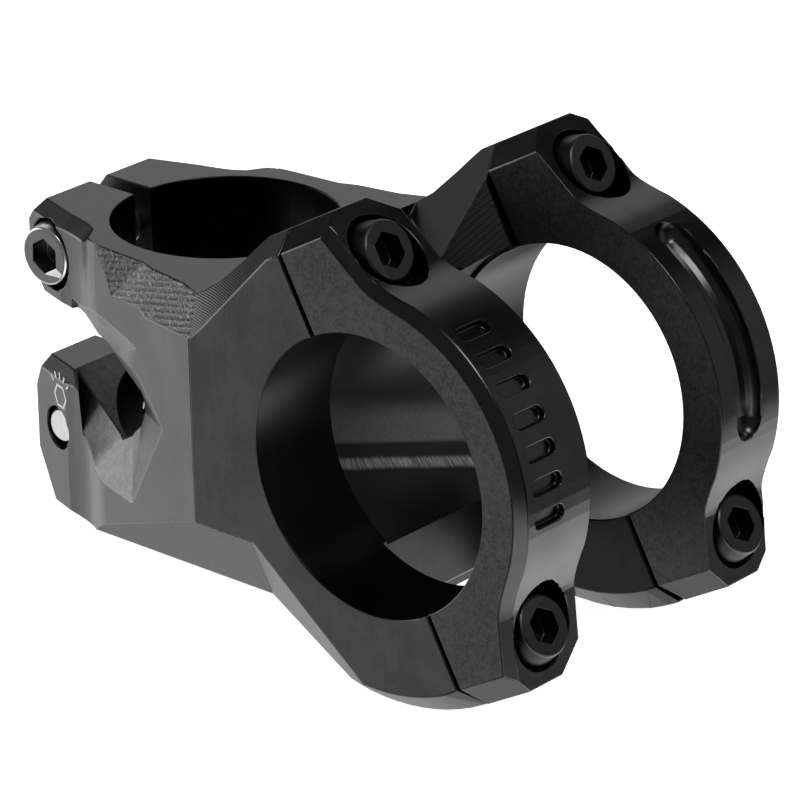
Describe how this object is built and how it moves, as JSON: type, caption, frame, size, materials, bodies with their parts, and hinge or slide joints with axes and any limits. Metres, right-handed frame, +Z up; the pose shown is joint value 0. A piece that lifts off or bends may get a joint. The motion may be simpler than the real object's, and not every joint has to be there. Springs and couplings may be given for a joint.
{
  "type": "bicycle handlebar stem",
  "caption": "Short machined bicycle handlebar stem: slotted steerer clamp with pinch ears, two arms and a separate faceplate on each arm.",
  "frame": {"origin": "centre of the steerer bore at the clamp's bottom face", "axes": "+Z up along the steerer, -Y forward to the handlebar, +X to the rider's left"},
  "size_m": [0.0492, 0.0926, 0.0603],
  "materials": {
    "black_anodised": "black anodised, fine milling marks",
    "black_plate": "black anodised, blasted sides and polished strap",
    "black_steel": "black oxide",
    "silver_steel": "bright zinc or stainless"
  },
  "bodies": {
    "body": {"stem_body": "black_anodised"},
    "plate_right": {"faceplate_right": "black_plate"},
    "plate_left": {"faceplate_left": "black_plate"},
    "turn_right_upper": {"face_washer_right_upper": "black_steel"},
    "screw_right_upper": {"face_bolt_right_upper": "black_steel"},
    "turn_right_lower": {"face_washer_right_lower": "black_steel"},
    "screw_right_lower": {"face_bolt_right_lower": "black_steel"},
    "turn_left_upper": {"face_washer_left_upper": "black_steel"},
    "screw_left_upper": {"face_bolt_left_upper": "black_steel"},
    "turn_left_lower": {"face_washer_left_lower": "black_steel"},
    "screw_left_lower": {"face_bolt_left_lower": "black_steel"},
    "turn_pinch_upper": {"pinch_washer_upper": "silver_steel"},
    "screw_pinch_upper": {"pinch_bolt_upper": "silver_steel"},
    "turn_pinch_lower": {"pinch_washer_lower": "silver_steel"},
    "screw_pinch_lower": {"pinch_bolt_lower": "silver_steel"}
  },
  "joints": [
    {"name": "plate_right_off", "type": "slide", "parent": "body", "child": "plate_right", "axis": [0, -0.8738, 0.4863], "range_m": [0, 0.03]},
    {"name": "face_bolt_right_upper_turn", "type": "hinge", "parent": "plate_right", "child": "turn_right_upper", "pos_m": [-0.01847, -0.04364, 0.05164], "axis": [0, -0.8738, 0.4863], "range_deg": [0, 4865]},
    {"name": "face_bolt_right_upper_out", "type": "slide", "parent": "turn_right_upper", "child": "screw_right_upper", "axis": [0, -0.8738, 0.4863], "range_m": [0, 0.0108]},
    {"name": "face_bolt_right_lower_turn", "type": "hinge", "parent": "plate_right", "child": "turn_right_lower", "pos_m": [-0.01847, -0.0664, 0.01074], "axis": [0, -0.8738, 0.4863], "range_deg": [0, 4865]},
    {"name": "face_bolt_right_lower_out", "type": "slide", "parent": "turn_right_lower", "child": "screw_right_lower", "axis": [0, -0.8738, 0.4863], "range_m": [0, 0.0108]},
    {"name": "plate_left_off", "type": "slide", "parent": "body", "child": "plate_left", "axis": [0, -0.8738, 0.4863], "range_m": [0, 0.03]},
    {"name": "face_bolt_left_upper_turn", "type": "hinge", "parent": "plate_left", "child": "turn_left_upper", "pos_m": [0.01847, -0.04364, 0.05164], "axis": [0, -0.8738, 0.4863], "range_deg": [0, 4865]},
    {"name": "face_bolt_left_upper_out", "type": "slide", "parent": "turn_left_upper", "child": "screw_left_upper", "axis": [0, -0.8738, 0.4863], "range_m": [0, 0.0108]},
    {"name": "face_bolt_left_lower_turn", "type": "hinge", "parent": "plate_left", "child": "turn_left_lower", "pos_m": [0.01847, -0.0664, 0.01074], "axis": [0, -0.8738, 0.4863], "range_deg": [0, 4865]},
    {"name": "face_bolt_left_lower_out", "type": "slide", "parent": "turn_left_lower", "child": "screw_left_lower", "axis": [0, -0.8738, 0.4863], "range_m": [0, 0.0108]},
    {"name": "pinch_bolt_upper_turn", "type": "hinge", "parent": "body", "child": "turn_pinch_upper", "pos_m": [-0.013, 0.019, 0.034], "axis": [-1, 0, 0], "range_deg": [0, 4415]},
    {"name": "pinch_bolt_upper_out", "type": "slide", "parent": "turn_pinch_upper", "child": "screw_pinch_upper", "axis": [-1, 0, 0], "range_m": [0, 0.0098]},
    {"name": "pinch_bolt_lower_turn", "type": "hinge", "parent": "body", "child": "turn_pinch_lower", "pos_m": [0.013, 0.019, 0.0105], "axis": [1, 0, 0], "range_deg": [0, 4415]},
    {"name": "pinch_bolt_lower_out", "type": "slide", "parent": "turn_pinch_lower", "child": "screw_pinch_lower", "axis": [1, 0, 0], "range_m": [0, 0.0098]}
  ],
  "couplings": [
    {"joint": "face_bolt_right_upper_turn", "follows": "face_bolt_right_upper_out", "rad_per_m": 7854},
    {"joint": "face_bolt_right_lower_turn", "follows": "face_bolt_right_lower_out", "rad_per_m": 7854},
    {"joint": "face_bolt_left_upper_turn", "follows": "face_bolt_left_upper_out", "rad_per_m": 7854},
    {"joint": "face_bolt_left_lower_turn", "follows": "face_bolt_left_lower_out", "rad_per_m": 7854},
    {"joint": "pinch_bolt_upper_turn", "follows": "pinch_bolt_upper_out", "rad_per_m": 7854},
    {"joint": "pinch_bolt_lower_turn", "follows": "pinch_bolt_lower_out", "rad_per_m": 7854}
  ]
}
